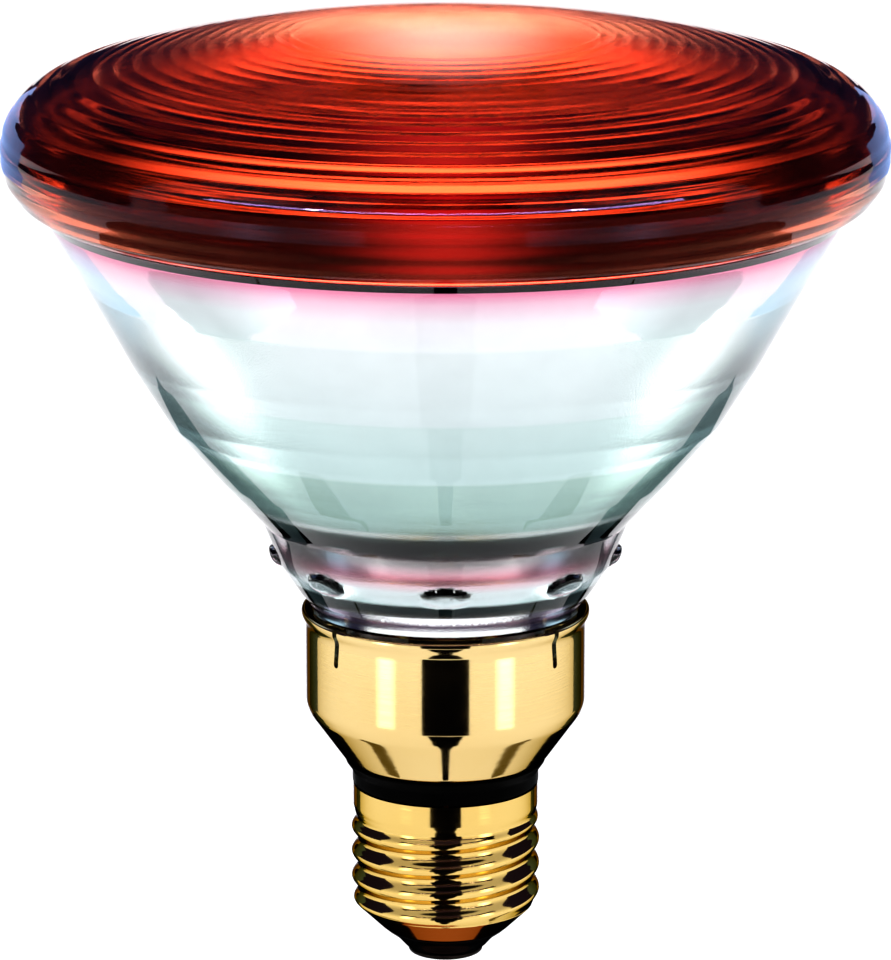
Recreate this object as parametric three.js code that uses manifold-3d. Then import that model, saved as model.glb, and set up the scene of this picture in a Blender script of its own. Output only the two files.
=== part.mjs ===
// Red reflector heat lamp: a PAR38 pressed-glass bulb with a skirted E27 screw cap.
// Millimetres, +Z up, lens upwards. The lamp axis is Z and the origin is the tip of the centre contact,
// so every height below is measured from the tip.

import * as THREE from 'three';
import { mergeVertices } from 'three/addons/utils/BufferGeometryUtils.js';
import Module from 'manifold-3d';

const wasm = await Module();
wasm.setup();

// ---------------------------------------------------------------- driving dimensions

const GAP = 0.3;                    // clearance between pieces that touch
const ROUND = 48;                   // sides of the large turned pieces
const SMALL_ROUND = 24;             // sides of the small turned pieces
const WIRE_SIDES = 6;

// Lens: PAR38, 38 eighths of an inch across
const LENS_RADIUS = 60.7;
const LENS_APEX = 133.2;            // overall length of the lamp
const DOME_RADIUS = 191.8;          // sphere that the front face belongs to
const DOME_EDGE = 52.3;             // radius where the dome turns into the shoulder
const LENS_WALL = 3.2;
const WIDEST = 115.9;               // height of the widest ring
const SEAM = 109.05;                // middle of the joint between lens and bowl
const SEAM_RADIUS = 56.1;

// Reflector bowl
const STEP_RADIUS = 43.5;           // small step between the second and the third band
const STEP = 86.8;
const LIP_RADIUS = 26.1;
const LIP = 64.9;                   // height of the lip, where the bowl turns into the neck
const NECK_RADIUS = 20.4;
const NECK_FOOT = 54.0;
const HEEL_RADIUS = 18.4;           // plain end that the skirt grips
const HEEL_TOP = 50.6;
const HEEL_BOTTOM = 45.1;
const FLOOR = 51.1;                 // inner face of the closed end
const FLOOR_RADIUS = 13.6;
const WELL_RADIUS = 14.2;           // upright wall round the ferrules
const WELL_TOP = 55.4;
const CONE_FOOT_RADIUS = 16.4;      // cone between the well and the parabola
const CONE_FOOT = 56.0;
const CONE_TOP_RADIUS = 20.3;
const CONE_TOP = 64.2;
const LUGS = 8;
const LUG_HEIGHT = 58.4;
const LUG_RADIUS = 22.9;
const LUG_REACH = 1.3;
const LUG_HALF_WIDTH = 3.4;
const LUG_HALF_HEIGHT = 1.5;
const PUMP_HOLE_RADIUS = 1.4;       // the bulb was pumped through it

// Reflecting surface: r^2 = PARABOLA * (z - PARABOLA_VERTEX)
const PARABOLA = 51.4;
const PARABOLA_VERTEX = 55.6;
const PARABOLA_FOOT = 22.7;         // radius where the parabola ends in the neck
const MIRROR_SKIN = 0.35;           // stands for a film that is far thinner
const MIRROR_RIM_RADIUS = 51.6;
const FOCUS = PARABOLA_VERTEX + PARABOLA / 4;

// Filament mount
const FERRULE_RADIUS = 3.0;
const FERRULE_TOP = 50.6;
const FERRULE_WALL = 0.6;
const POST_SPACING = 12.8;          // between the two lead posts
const POST_WIRE = 0.6;              // radius of a lead post
const POST_TIP_SPREAD = 18.6;       // between the tips that hold the filament
const FILAMENT_RADIUS = 1.4;
const FILAMENT_WIRE = 0.3;
const FILAMENT_TURNS = 9;
const BRIDGE = 60.5;                // height of the insulating rod
const BRIDGE_RADIUS = 1.5;
const SUPPLY_WIRE = 0.35;

// Cap: E27 with a 39 mm skirt
const SKIRT_RADIUS = 19.4;
const SKIRT_RIM_RADIUS = 20.0;
const SKIRT_TOP = 51.1;
const SKIRT_BEND = 37.0;            // height where the cylinder turns into the cone
const SKIRT_FOOT = 29.5;
const SKIRT_WALL = 0.55;
const SLIT_AZIMUTH = 49.5;          // degrees either side of the front and of the back
const SLIT_DEPTH = 5.6;
const SLIT_WIDTH = 0.9;
const SLIT_LEAN = 5;                // degrees
const RING_RADIUS = 13.0;
const RING_BOTTOM = 25.9;
const RING_TOP = 29.2;
const SHELL_TOP = 25.6;
const SHELL_RADIUS = 12.9;          // plain collar above the thread
const SHELL_BORE = 11.7;
const SHELL_MOUTH = 9.1;            // radius of the turned-in bottom edge
const SHELL_BOTTOM = 4.9;
const THREAD_PITCH = 3.629;         // seven turns to the inch
const THREAD_CREST = 13.15;
const THREAD_ROOT = 12.25;
const THREAD_START = 2.85;          // height of a crest on the +X side, less whole turns
const THREAD_BOTTOM = 8.6;
const THREAD_END = 21.8;
const THREAD_ROWS_PER_TURN = 6;
const CONTACT_RADIUS = 5.2;
const CONTACT_BOTTOM = 0.6;

// ---------------------------------------------------------------- shape helpers

// Points of an outline drawn by lines and curves, as (radius, height).
function outline(draw, curveSteps = 4) {
  const path = new THREE.Path();
  draw(path);
  return path.getPoints(curveSteps);
}

// An outline spun about Z. It runs anticlockwise, with radius to the right and height upwards.
function turned(points, sides = ROUND) {
  const geometry = new THREE.LatheGeometry(points, sides);
  geometry.rotateX(Math.PI / 2);
  return geometry;
}

// A round wire of the given radius along a curve.
function wire(curve, radius, steps, sides = WIRE_SIDES) {
  const section = new THREE.Shape(circlePoints(radius, sides));
  return new THREE.ExtrudeGeometry(section, { steps, bevelEnabled: false, extrudePath: curve });
}

function circlePoints(radius, sides) {
  const points = [];
  for (let i = 0; i < sides; i++) {
    const angle = (2 * Math.PI * i) / sides;
    points.push(new THREE.Vector2(radius * Math.cos(angle), radius * Math.sin(angle)));
  }
  return points;
}

// A closed geometry as a manifold-3d solid.
function solidOf(geometry) {
  const bare = geometry.clone();
  bare.deleteAttribute('normal');
  bare.deleteAttribute('uv');
  const merged = mergeVertices(bare);
  const corners = merged.index.array;
  const triVerts = [];
  for (let i = 0; i < corners.length; i += 3) {
    const [a, b, c] = corners.slice(i, i + 3);
    if (a !== b && b !== c && c !== a) {
      triVerts.push(a, b, c);
    }
  }
  return new wasm.Manifold(
    new wasm.Mesh({
      numProp: 3,
      vertProperties: Float32Array.from(merged.attributes.position.array),
      triVerts: Uint32Array.from(triVerts),
    }),
  );
}

// The geometry of a manifold-3d solid.
function geometryOf(solid) {
  const mesh = solid.getMesh();
  const geometry = new THREE.BufferGeometry();
  geometry.setAttribute('position', new THREE.BufferAttribute(mesh.vertProperties, 3));
  geometry.setIndex(new THREE.BufferAttribute(mesh.triVerts, 1));
  geometry.computeVertexNormals();
  return geometry;
}

function cut(body, tools) {
  let solid = solidOf(body);
  for (const tool of tools) {
    solid = solid.subtract(solidOf(tool));
  }
  return geometryOf(solid);
}

function joined(body, additions) {
  let solid = solidOf(body);
  for (const addition of additions) {
    solid = solid.add(solidOf(addition));
  }
  return geometryOf(solid);
}

function finish(colour, roughness, metalness) {
  return new THREE.MeshStandardMaterial({ color: colour, roughness, metalness });
}

function piece(name, geometry, material) {
  const mesh = new THREE.Mesh(geometry, material);
  mesh.name = name;
  return mesh;
}

// ---------------------------------------------------------------- glass

// Height of a sphere cap of the given radius and apex.
function domeHeight(r, sphereRadius, apex) {
  return apex - sphereRadius + Math.sqrt(sphereRadius ** 2 - r ** 2);
}

function domePoints(edge, sphereRadius, apex, steps) {
  const points = [];
  for (let i = 0; i <= steps; i++) {
    const r = (edge * i) / steps;
    points.push(new THREE.Vector2(r, domeHeight(r, sphereRadius, apex)));
  }
  return points;
}

// Shallow dome with a rounded shoulder and a flange that turns in to the seam, hollow underneath.
function frontLens() {
  const foot = SEAM + GAP / 2;
  const domeSteps = 5;
  const innerEdge = DOME_EDGE - LENS_WALL;
  const inner = domePoints(innerEdge, DOME_RADIUS - LENS_WALL, LENS_APEX - LENS_WALL, domeSteps);
  const outer = domePoints(DOME_EDGE, DOME_RADIUS, LENS_APEX, domeSteps).reverse();
  const innerStart = inner[domeSteps];
  const outerEnd = outer[0];
  const side = outline((path) => {
    path.moveTo(innerStart.x, innerStart.y);
    path.quadraticCurveTo(LENS_RADIUS - LENS_WALL, 120.6, LENS_RADIUS - LENS_WALL, WIDEST);
    path.quadraticCurveTo(LENS_RADIUS - LENS_WALL, 111.8, SEAM_RADIUS - LENS_WALL, foot);
    path.lineTo(SEAM_RADIUS, foot);
    path.quadraticCurveTo(60.2, 110.4, LENS_RADIUS, WIDEST);
    path.quadraticCurveTo(60.7, 120.6, 57.2, 123.4);
    path.quadraticCurveTo(55.4, 124.9, outerEnd.x, outerEnd.y);
  });
  return turned([...inner.slice(0, domeSteps), ...side, ...outer.slice(1)]);
}

// The wall that the mirror lies on, from the floor of the neck up to the rim. It is moved inwards and
// upwards by the same amount, so that nested skins keep clear of each other.
function reflectorWall(shift, rimRadius) {
  const neck = [
    new THREE.Vector2(FLOOR_RADIUS, FLOOR),
    new THREE.Vector2(WELL_RADIUS - 0.2, FLOOR + 0.5),
    new THREE.Vector2(WELL_RADIUS, WELL_TOP),
    new THREE.Vector2(CONE_FOOT_RADIUS, CONE_FOOT),
    new THREE.Vector2(CONE_TOP_RADIUS, CONE_TOP),
  ];
  const parabola = [];
  const steps = 6;
  for (let i = 0; i <= steps; i++) {
    const r = THREE.MathUtils.lerp(PARABOLA_FOOT, rimRadius, i / steps);
    parabola.push(new THREE.Vector2(r, PARABOLA_VERTEX + r ** 2 / PARABOLA));
  }
  return [...neck, ...parabola].map((p) => new THREE.Vector2(p.x - shift, p.y + shift));
}

// Outside of the bowl: heel, undercut, neck, lip and four straight bands with one small step.
function bowlOutside() {
  return outline((path) => {
    path.moveTo(0, HEEL_BOTTOM);
    path.lineTo(HEEL_RADIUS - 2, HEEL_BOTTOM);
    path.quadraticCurveTo(HEEL_RADIUS, HEEL_BOTTOM, HEEL_RADIUS, HEEL_BOTTOM + 2);
    path.lineTo(HEEL_RADIUS, HEEL_TOP);
    path.quadraticCurveTo(HEEL_RADIUS + 0.3, 52.2, NECK_RADIUS, NECK_FOOT);
    path.lineTo(23.0, 58.0);
    path.lineTo(25.5, 64.2);
    path.lineTo(LIP_RADIUS, LIP);
    path.lineTo(31.8, 71.1);
    path.lineTo(38.3, 78.9);
    path.lineTo(STEP_RADIUS, STEP);
    path.lineTo(STEP_RADIUS - 0.4, STEP + 0.5);
    path.lineTo(50.5, 100.2);
    path.lineTo(54.8, 107.6);
    path.lineTo(SEAM_RADIUS, SEAM - GAP / 2);
  }, 3);
}

// Low rounded lugs round the neck.
function neckLugs() {
  const lugs = [];
  for (let i = 0; i < LUGS; i++) {
    const azimuth = -Math.PI / 2 + (2 * Math.PI * i) / LUGS;
    const lug = new THREE.SphereGeometry(1, 8, 6);
    lug.scale(LUG_REACH, LUG_HALF_WIDTH, LUG_HALF_HEIGHT);
    lug.translate(LUG_RADIUS, 0, LUG_HEIGHT);
    lug.rotateZ(azimuth);
    lugs.push(lug);
  }
  return lugs;
}

// An upright cylinder between two heights.
function post(radius, x, bottom, top, sides = SMALL_ROUND) {
  const geometry = new THREE.CylinderGeometry(radius, radius, top - bottom, sides);
  geometry.rotateX(Math.PI / 2);
  geometry.translate(x, 0, (bottom + top) / 2);
  return geometry;
}

function reflectorBowl() {
  const rim = SEAM - GAP / 2;
  const rimRadius = Math.sqrt(PARABOLA * (rim - PARABOLA_VERTEX));
  const inside = reflectorWall(0, rimRadius).reverse();
  const shell = turned([...bowlOutside(), ...inside, new THREE.Vector2(0, FLOOR)]);
  const holeSides = 12;
  const holes = [-POST_SPACING / 2, POST_SPACING / 2].map((x) =>
    post(FERRULE_RADIUS + GAP, x, HEEL_BOTTOM - 1, FLOOR + 1, holeSides),
  );
  holes.push(post(PUMP_HOLE_RADIUS, 0, HEEL_BOTTOM - 1, FLOOR + 1, holeSides));
  return cut(joined(shell, neckLugs()), holes);
}

// The aluminised layer, from just above the floor of the neck to just below the rim.
function mirrorLayer() {
  const outer = reflectorWall(GAP, MIRROR_RIM_RADIUS).slice(1);
  const inner = reflectorWall(GAP + MIRROR_SKIN, MIRROR_RIM_RADIUS).slice(1).reverse();
  return turned([...outer, ...inner, outer[0]]);
}

// Sealed-off end of the tube that the bulb was pumped through.
function exhaustTip() {
  const top = HEEL_BOTTOM - GAP;
  const points = outline((path) => {
    path.moveTo(0, top - 8);
    path.quadraticCurveTo(1.0, top - 8, 1.4, top - 6);
    path.lineTo(2.2, top - 2.5);
    path.lineTo(2.2, top);
    path.lineTo(1.4, top);
    path.lineTo(1.4, top - 2.5);
    path.lineTo(0, top - 5);
  }, 2);
  return turned(points, 12);
}

// ---------------------------------------------------------------- filament mount

// A metal cup, open downwards, that carries the current through the glass.
function ferrule() {
  const bore = FERRULE_RADIUS - FERRULE_WALL;
  const bottom = HEEL_BOTTOM - 2;
  const points = outline((path) => {
    path.moveTo(0, FERRULE_TOP - FERRULE_WALL);
    path.lineTo(bore, FERRULE_TOP - FERRULE_WALL);
    path.lineTo(bore, bottom);
    path.lineTo(FERRULE_RADIUS, bottom);
    path.lineTo(FERRULE_RADIUS, FERRULE_TOP);
    path.lineTo(0, FERRULE_TOP);
  });
  return turned(points, 16);
}

// A stiff lead from its ferrule to the end of the filament. Side is -1 or 1.
function leadPost(side) {
  const x = (side * POST_SPACING) / 2;
  const tip = (side * POST_TIP_SPREAD) / 2;
  const curve = new THREE.CatmullRomCurve3([
    new THREE.Vector3(x, 0, FERRULE_TOP + GAP),
    new THREE.Vector3(x, 0, 56),
    new THREE.Vector3(x, 0, 62.5),
    new THREE.Vector3(tip - side * 0.6, 0, 66.4),
    new THREE.Vector3(tip, 0, FOCUS + 1.2),
  ]);
  return wire(curve, POST_WIRE, 10);
}

// A coil along X whose ends run out on its axis.
class CoilCurve extends THREE.Curve {
  constructor(length, radius, turns) {
    super();
    this.length = length;
    this.radius = radius;
    this.turns = turns;
  }

  getPoint(t, target = new THREE.Vector3()) {
    const tail = 0.1;
    const swell = THREE.MathUtils.smoothstep(Math.min(t, 1 - t), 0, tail);
    const angle = 2 * Math.PI * this.turns * t;
    const r = this.radius * swell;
    return target.set((t - 0.5) * this.length, r * Math.cos(angle), r * Math.sin(angle));
  }
}

function filament() {
  const length = POST_TIP_SPREAD - 2 * (POST_WIRE + GAP);
  const coil = new CoilCurve(length, FILAMENT_RADIUS, FILAMENT_TURNS);
  const stepsPerTurn = 9;
  return wire(coil, FILAMENT_WIRE, FILAMENT_TURNS * stepsPerTurn, 4);
}

// Insulating rod across the lead posts, with a hole for each.
function bridgeRod() {
  const rod = new THREE.CylinderGeometry(BRIDGE_RADIUS, BRIDGE_RADIUS, POST_SPACING + 5, 16);
  rod.rotateZ(Math.PI / 2);
  rod.translate(0, 0, BRIDGE);
  const reach = BRIDGE_RADIUS + 1;
  const holes = [-POST_SPACING / 2, POST_SPACING / 2].map((x) =>
    post(POST_WIRE + GAP, x, BRIDGE - reach, BRIDGE + reach, 10),
  );
  return cut(rod, holes);
}

// A wire from the rod that loops over the middle of the filament without touching it.
function filamentSupport() {
  const loopRadius = FILAMENT_RADIUS + FILAMENT_WIRE + 0.6;
  const points = [
    new THREE.Vector3(0, 0, BRIDGE + BRIDGE_RADIUS + GAP),
    new THREE.Vector3(0, -1.4, 64.2),
    new THREE.Vector3(0, -loopRadius, 66.4),
  ];
  const arcSteps = 8;
  const sweep = (4 * Math.PI) / 3;
  for (let i = 0; i <= arcSteps; i++) {
    const angle = Math.PI - (sweep * i) / arcSteps;
    const y = loopRadius * Math.cos(angle);
    points.push(new THREE.Vector3(0, y, FOCUS + loopRadius * Math.sin(angle)));
  }
  return wire(new THREE.CatmullRomCurve3(points), 0.25, 18, 5);
}

// ---------------------------------------------------------------- wiring inside the cap

// From the right ferrule down the axis to the solder in the centre contact.
function supplyWireCentre() {
  const x = POST_SPACING / 2;
  const curve = new THREE.CatmullRomCurve3([
    new THREE.Vector3(x, 0, FERRULE_TOP - FERRULE_WALL - GAP),
    new THREE.Vector3(x, 0, 42),
    new THREE.Vector3(x - 0.8, 0, 38),
    new THREE.Vector3(2.9, 0, 34.5),
    new THREE.Vector3(0.3, 0, 31.5),
    new THREE.Vector3(0, 0, 28),
    new THREE.Vector3(0, 0, 18),
    new THREE.Vector3(0, 0, 7.3),
  ]);
  return wire(curve, SUPPLY_WIRE, 24);
}

// From the left ferrule to the solder on the inside of the shell.
function supplyWireShell() {
  const x = -POST_SPACING / 2;
  const curve = new THREE.CatmullRomCurve3([
    new THREE.Vector3(x, 0, FERRULE_TOP - FERRULE_WALL - GAP),
    new THREE.Vector3(x, 0, 42),
    new THREE.Vector3(x - 1.0, 0, 36),
    new THREE.Vector3(-9.6, 0, 30),
    new THREE.Vector3(-10.3, 0, 27),
    new THREE.Vector3(-10.3, 0, 24.9),
  ]);
  return wire(curve, SUPPLY_WIRE, 16);
}

// Glass tube round the fusible length of the centre wire.
function fuseSleeve() {
  const points = outline((path) => {
    path.moveTo(0.8, 14);
    path.lineTo(2.0, 14);
    path.lineTo(2.0, 27);
    path.lineTo(0.8, 27);
    path.closePath();
  });
  return turned(points, 12);
}

function shellSolder() {
  const blob = new THREE.SphereGeometry(1, 10, 8);
  blob.scale(0.9, 1.3, 1.0);
  blob.translate(-10.3, 0, 23.6);
  return blob;
}

// ---------------------------------------------------------------- cap

// Drawn brass skirt: cylinder with a flared rim, cone below, and a foot turned in over the ring.
function skirtOutline() {
  const bore = SKIRT_RADIUS - SKIRT_WALL;
  return outline((path) => {
    path.moveTo(12.4, SKIRT_FOOT);
    path.lineTo(14.1, SKIRT_FOOT);
    path.lineTo(SKIRT_RADIUS - 0.7, SKIRT_BEND - 0.9);
    path.quadraticCurveTo(SKIRT_RADIUS, SKIRT_BEND, SKIRT_RADIUS, SKIRT_BEND + 1);
    path.lineTo(SKIRT_RADIUS, 49.2);
    path.lineTo(SKIRT_RIM_RADIUS, 50.3);
    path.lineTo(SKIRT_RIM_RADIUS, SKIRT_TOP - 0.2);
    path.lineTo(SKIRT_RIM_RADIUS - 0.3, SKIRT_TOP);
    path.lineTo(SKIRT_RIM_RADIUS - 0.7, SKIRT_TOP - 0.3);
    path.lineTo(bore, 49.4);
    path.lineTo(bore, SKIRT_BEND + 0.6);
    path.lineTo(13.8, SKIRT_FOOT + SKIRT_WALL);
    path.lineTo(12.4, SKIRT_FOOT + SKIRT_WALL);
    path.closePath();
  }, 3);
}

// Slits from the rim downwards, in pairs at the front and at the back.
function skirtSlits() {
  const slits = [];
  for (const face of [-90, 90]) {
    for (const side of [-1, 1]) {
      const slit = new THREE.BoxGeometry(4, SLIT_WIDTH, SLIT_DEPTH * 2);
      slit.rotateX(THREE.MathUtils.degToRad(side * SLIT_LEAN));
      slit.translate(SKIRT_RADIUS, 0, SKIRT_TOP);
      slit.rotateZ(THREE.MathUtils.degToRad(face + side * SLIT_AZIMUTH));
      slits.push(slit);
    }
  }
  return slits;
}

function brassSkirt() {
  return cut(turned(skirtOutline()), skirtSlits());
}

function insulatingRing() {
  const points = outline((path) => {
    path.moveTo(11.8, RING_BOTTOM);
    path.lineTo(RING_RADIUS, RING_BOTTOM);
    path.lineTo(RING_RADIUS, 27.7);
    path.lineTo(RING_RADIUS + 1, RING_TOP - 0.1);
    path.lineTo(RING_RADIUS + 0.8, RING_TOP);
    path.lineTo(11.8, RING_TOP);
    path.closePath();
  });
  return turned(points, 36);
}

// Radius of the rolled thread at an azimuth and a height. Crests climb anticlockwise: right-handed.
function threadRadius(azimuth, height) {
  const mean = (THREAD_CREST + THREAD_ROOT) / 2;
  const depth = (THREAD_CREST - THREAD_ROOT) / 2;
  const turns = (height - THREAD_START) / THREAD_PITCH - azimuth / (2 * Math.PI);
  const runIn = THREE.MathUtils.smoothstep(height, THREAD_BOTTOM - 1.2, THREAD_BOTTOM + 1.2);
  const runOut = 1 - THREE.MathUtils.smoothstep(height, THREAD_END - 1.8, THREAD_END);
  return mean + depth * runIn * runOut * Math.cos(2 * Math.PI * turns);
}

// Thin shell with a rolled thread outside, a plain collar on top and a bottom edge turned in.
function screwShell() {
  const mean = (THREAD_CREST + THREAD_ROOT) / 2;
  const rows = [];
  const count = Math.round(((THREAD_END - THREAD_BOTTOM) / THREAD_PITCH) * THREAD_ROWS_PER_TURN);
  for (let i = 0; i <= count; i++) {
    const height = THREE.MathUtils.lerp(THREAD_BOTTOM, THREAD_END, i / count);
    rows.push(new THREE.Vector2(mean, height));
  }
  const below = [
    new THREE.Vector2(SHELL_MOUTH - 0.5, SHELL_BOTTOM + 0.6),
    new THREE.Vector2(SHELL_MOUTH, SHELL_BOTTOM),
    new THREE.Vector2(12.3, 8.0),
  ];
  const above = [
    new THREE.Vector2(SHELL_RADIUS, THREAD_END + 0.6),
    new THREE.Vector2(SHELL_RADIUS, SHELL_TOP),
    new THREE.Vector2(SHELL_BORE, SHELL_TOP),
    new THREE.Vector2(SHELL_BORE, 8.9),
  ];
  const shell = turned([...below, ...rows, ...above, below[0]], 36);
  const position = shell.attributes.position;
  const tolerance = 0.01;
  for (let i = 0; i < position.count; i++) {
    const x = position.getX(i);
    const y = position.getY(i);
    const r = Math.hypot(x, y);
    if (Math.abs(r - mean) < tolerance) {
      const scale = threadRadius(Math.atan2(y, x), position.getZ(i)) / r;
      position.setXY(i, x * scale, y * scale);
    }
  }
  return shell;
}

// Black glass that fills the bottom of the shell and carries the centre contact.
function glassInsulator() {
  const points = outline((path) => {
    path.moveTo(2.4, 1.7);
    path.lineTo(5.6, 1.7);
    path.lineTo(7.0, 3.3);
    path.lineTo(8.8, 4.6);
    path.lineTo(8.3, 4.8);
    path.lineTo(8.3, 5.9);
    path.lineTo(11.2, 9.3);
    path.lineTo(11.2, 10.3);
    path.lineTo(2.4, 10.3);
    path.closePath();
  });
  return turned(points, SMALL_ROUND);
}

// Brass eyelet: a flange under the glass and a tube up through it.
function centreContact() {
  const points = outline((path) => {
    path.moveTo(1.6, CONTACT_BOTTOM);
    path.lineTo(CONTACT_RADIUS - 0.6, CONTACT_BOTTOM);
    path.lineTo(CONTACT_RADIUS, CONTACT_BOTTOM + 0.4);
    path.lineTo(CONTACT_RADIUS, CONTACT_BOTTOM + 0.8);
    path.lineTo(2.1, CONTACT_BOTTOM + 0.8);
    path.lineTo(2.1, 11.0);
    path.lineTo(1.6, 11.0);
    path.closePath();
  });
  return turned(points, SMALL_ROUND);
}

// Solder that fills the eyelet, with a flat tip on the origin plane.
function centreSolder() {
  const points = outline((path) => {
    path.moveTo(0, 0);
    path.lineTo(1.8, 0);
    path.lineTo(2.8, CONTACT_BOTTOM - GAP);
    path.lineTo(1.3, CONTACT_BOTTOM - GAP);
    path.lineTo(1.3, 7.0);
    path.lineTo(0, 7.0);
  });
  return turned(points, 16);
}

// ---------------------------------------------------------------- assembly

function glassware() {
  const group = new THREE.Group();
  group.add(
    piece('front_lens', frontLens(), finish(0xb3140c, 0.12, 0.0)),
    piece('reflector_bowl', reflectorBowl(), finish(0xcfe6e2, 0.08, 0.0)),
    piece('mirror_layer', mirrorLayer(), finish(0xe6ebea, 0.1, 1.0)),
    piece('exhaust_tip', exhaustTip(), finish(0xd5e5e0, 0.08, 0.0)),
  );
  return group;
}

function filamentMount() {
  const group = new THREE.Group();
  for (const [word, side] of [['left', -1], ['right', 1]]) {
    const cup = piece(`ferrule_${word}`, ferrule(), finish(0x8f8a80, 0.35, 1.0));
    cup.position.x = (side * POST_SPACING) / 2;
    group.add(cup);
    group.add(piece(`lead_post_${word}`, leadPost(side), finish(0xa9a7a0, 0.3, 1.0)));
  }
  const coil = piece('filament', filament(), finish(0x6a6864, 0.4, 1.0));
  coil.position.z = FOCUS;
  group.add(
    coil,
    piece('filament_support', filamentSupport(), finish(0x85837e, 0.35, 1.0)),
    piece('bridge_rod', bridgeRod(), finish(0xe8e4da, 0.45, 0.0)),
  );
  return group;
}

function wiring() {
  const group = new THREE.Group();
  group.add(
    piece('supply_wire_centre', supplyWireCentre(), finish(0xb8895a, 0.35, 1.0)),
    piece('supply_wire_shell', supplyWireShell(), finish(0xb8895a, 0.35, 1.0)),
    piece('fuse_sleeve', fuseSleeve(), finish(0xd8e2dc, 0.15, 0.0)),
    piece('shell_solder', shellSolder(), finish(0xb5b5ae, 0.35, 1.0)),
  );
  return group;
}

function cap() {
  const brass = () => finish(0xd9a83a, 0.15, 1.0);
  const group = new THREE.Group();
  group.add(
    piece('brass_skirt', brassSkirt(), brass()),
    piece('insulating_ring', insulatingRing(), finish(0x121212, 0.35, 0.0)),
    piece('screw_shell', screwShell(), brass()),
    piece('glass_insulator', glassInsulator(), finish(0x0d0d10, 0.12, 0.0)),
    piece('centre_contact', centreContact(), brass()),
    piece('centre_solder', centreSolder(), finish(0xaaa9a2, 0.35, 1.0)),
  );
  return group;
}

const lamp = new THREE.Group();
lamp.add(glassware(), filamentMount(), wiring(), cap());

export default lamp;
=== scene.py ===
import math

import bpy
from mathutils import Matrix, Vector


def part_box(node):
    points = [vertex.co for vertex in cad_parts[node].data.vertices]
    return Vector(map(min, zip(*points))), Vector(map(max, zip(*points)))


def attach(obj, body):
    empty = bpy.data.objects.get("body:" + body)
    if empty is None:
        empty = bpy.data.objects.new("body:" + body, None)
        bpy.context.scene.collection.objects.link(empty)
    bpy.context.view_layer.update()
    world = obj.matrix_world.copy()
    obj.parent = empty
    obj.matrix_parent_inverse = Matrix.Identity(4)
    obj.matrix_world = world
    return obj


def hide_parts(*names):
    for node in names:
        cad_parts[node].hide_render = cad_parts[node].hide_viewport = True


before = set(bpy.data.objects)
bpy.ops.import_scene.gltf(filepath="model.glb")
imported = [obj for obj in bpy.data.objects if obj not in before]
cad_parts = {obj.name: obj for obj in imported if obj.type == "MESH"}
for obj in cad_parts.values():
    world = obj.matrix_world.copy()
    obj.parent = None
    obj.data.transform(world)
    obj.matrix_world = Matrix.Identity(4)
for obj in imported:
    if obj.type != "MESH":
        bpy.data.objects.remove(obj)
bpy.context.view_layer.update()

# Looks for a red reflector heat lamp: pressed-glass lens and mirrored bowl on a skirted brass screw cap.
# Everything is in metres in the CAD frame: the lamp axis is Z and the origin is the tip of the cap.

BODY = "root"
MM = 0.001
SHARP_EDGE = 35                           # degrees between faces at which an edge looks sharp
SIDES = ((-1, "left"), (1, "right"))


# ---------------------------------------------------------------- places taken from the frame

LENS_LOW, LENS_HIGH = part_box("front_lens")
BOWL_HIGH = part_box("reflector_bowl")[1]
SKIRT_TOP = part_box("brass_skirt")[1].z

SEAM = (LENS_LOW.z + BOWL_HIGH.z) / 2     # height of the joint between lens and bowl
SEAM_RADIUS = BOWL_HIGH.x
LENS_RADIUS = LENS_HIGH.x
LENS_APEX = LENS_HIGH.z
FRONT = -math.pi / 2                      # azimuth of the front of the lamp, about Z from +X


# ---------------------------------------------------------------- camera, floor and lights

CAMERA_PLACE = (0.0, -0.800, 0.2767)
CAMERA_PITCH = 14.55                      # degrees below the horizon
CAMERA_LENS = 224.1
FLOOR_HEIGHT = -0.30
LAMP_MIDDLE = 0.09                        # height that the lights face
FLOOR_HALF = 8.0
STRIPS = 7                                # nested strip lights on each side, which makes a soft edge
STRIP_AZIMUTH = 50


def make_camera():
    data = bpy.data.cameras.new("camera")
    data.lens = CAMERA_LENS
    data.clip_end = 50
    camera = bpy.data.objects.new("camera", data)
    camera.location = CAMERA_PLACE
    camera.rotation_euler = (math.radians(90 - CAMERA_PITCH), 0, 0)
    bpy.context.scene.collection.objects.link(camera)
    bpy.context.scene.camera = camera


def make_floor():
    half = FLOOR_HALF
    mesh = bpy.data.meshes.new("floor")
    corners = [(-half, -half), (half, -half), (half, half), (-half, half)]
    mesh.from_pydata([(x, y, FLOOR_HEIGHT) for x, y in corners], [], [(0, 1, 2, 3)])
    floor = bpy.data.objects.new("floor", mesh)
    bpy.context.scene.collection.objects.link(floor)
    surface = Surface("floor_paper")
    surface.set(Base_Color=(0.86, 0.86, 0.86, 1), Roughness=1.0, Specular_IOR_Level=0.0)
    mesh.materials.append(surface.material)


def toward(azimuth, elevation, distance):
    """A place seen from the lamp at an azimuth from the camera's side, in degrees, and an elevation."""
    a, e = math.radians(azimuth), math.radians(elevation)
    middle = Vector((0, 0, LAMP_MIDDLE))
    flat = math.cos(e) * distance
    return middle + Vector((math.sin(a) * flat, -math.cos(a) * flat, math.sin(e) * distance))


def only_in(thing, kinds):
    """Says which rays meet a light or card: glossy is reflections, transmission is through the glass."""
    thing.visible_camera = False
    thing.visible_diffuse = "diffuse" in kinds
    thing.visible_glossy = "glossy" in kinds
    thing.visible_transmission = "transmission" in kinds


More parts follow.
